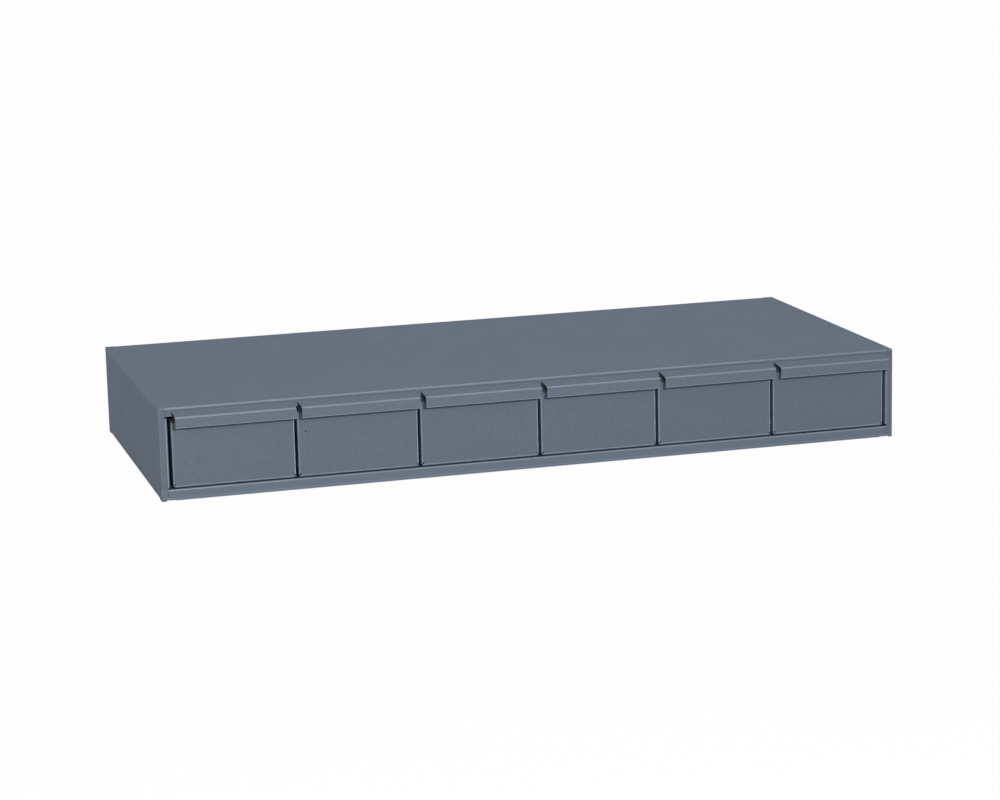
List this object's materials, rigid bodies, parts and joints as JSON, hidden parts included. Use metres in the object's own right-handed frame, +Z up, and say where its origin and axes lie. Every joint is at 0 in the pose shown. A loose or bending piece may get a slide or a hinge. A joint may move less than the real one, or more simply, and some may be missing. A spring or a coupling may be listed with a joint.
{
  "type": "small parts drawer cabinet",
  "caption": "Low wide sheet-steel cabinet with one row of small drawers, each with a full-width hooded pull.",
  "frame": {"origin": "middle of the whole footprint, pulls included, on the surface the cabinet stands on", "axes": "+X to the right seen from the front, +Y towards the back, +Z up"},
  "size_m": [0.857, 0.4044, 0.1032],
  "materials": {
    "case_enamel": "semi-gloss grey enamel on folded steel",
    "inner_enamel": "satin grey enamel on folded steel"
  },
  "bodies": {
    "case": {"left_side": "case_enamel", "right_side": "case_enamel", "top_panel": "case_enamel", "bottom_panel": "case_enamel", "back_panel": "inner_enamel", "stop_rail": "inner_enamel", "partition_1": "inner_enamel", "partition_2": "inner_enamel", "partition_3": "inner_enamel", "partition_4": "inner_enamel", "partition_5": "inner_enamel", "partition_6": "inner_enamel", "partition_7": "inner_enamel"},
    "drawer_1": {"drawer_1_front": "case_enamel", "drawer_1_tray": "inner_enamel", "drawer_1_back": "inner_enamel"},
    "drawer_2": {"drawer_2_front": "case_enamel", "drawer_2_tray": "inner_enamel", "drawer_2_back": "inner_enamel"},
    "drawer_3": {"drawer_3_front": "case_enamel", "drawer_3_tray": "inner_enamel", "drawer_3_back": "inner_enamel"},
    "drawer_4": {"drawer_4_front": "case_enamel", "drawer_4_tray": "inner_enamel", "drawer_4_back": "inner_enamel"},
    "drawer_5": {"drawer_5_front": "case_enamel", "drawer_5_tray": "inner_enamel", "drawer_5_back": "inner_enamel"},
    "drawer_6": {"drawer_6_front": "case_enamel", "drawer_6_tray": "inner_enamel", "drawer_6_back": "inner_enamel"}
  },
  "joints": [
    {"name": "drawer_1_slide", "type": "slide", "parent": "case", "child": "drawer_1", "axis": [0, -1, 0], "range_m": [0, 0.339]},
    {"name": "drawer_2_slide", "type": "slide", "parent": "case", "child": "drawer_2", "axis": [0, -1, 0], "range_m": [0, 0.339]},
    {"name": "drawer_3_slide", "type": "slide", "parent": "case", "child": "drawer_3", "axis": [0, -1, 0], "range_m": [0, 0.339]},
    {"name": "drawer_4_slide", "type": "slide", "parent": "case", "child": "drawer_4", "axis": [0, -1, 0], "range_m": [0, 0.339]},
    {"name": "drawer_5_slide", "type": "slide", "parent": "case", "child": "drawer_5", "axis": [0, -1, 0], "range_m": [0, 0.339]},
    {"name": "drawer_6_slide", "type": "slide", "parent": "case", "child": "drawer_6", "axis": [0, -1, 0], "range_m": [0, 0.339]}
  ]
}
